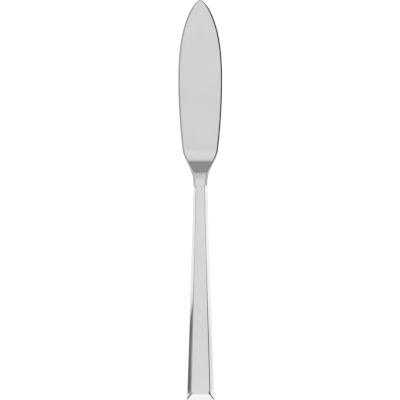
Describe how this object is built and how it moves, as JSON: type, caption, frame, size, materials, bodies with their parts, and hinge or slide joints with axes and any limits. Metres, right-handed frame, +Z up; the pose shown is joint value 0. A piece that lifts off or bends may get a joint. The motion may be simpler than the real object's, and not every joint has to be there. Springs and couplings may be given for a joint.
{
  "type": "fish knife",
  "caption": "Fish knife with a broad, blunt-edged leaf blade, a sloping shoulder and a slim faceted hollow handle with a bevelled end.",
  "frame": {"origin": "on the table under the middle of the knife's length, centred on its width", "axes": "+Y along the knife to the tip of the blade, +Z up out of the handle's upper flat face, +X across the blade"},
  "size_m": [0.0228, 0.208, 0.0061],
  "materials": {
    "blade_steel": "mirror polished stainless steel",
    "handle_steel": "mirror polished stainless steel",
    "handle_cement": "cast, rough"
  },
  "bodies": {
    "root": {"blade": "blade_steel", "handle_front_shell": "handle_steel", "handle_back_shell": "handle_steel", "handle_filler": "handle_cement"}
  },
  "joints": []
}
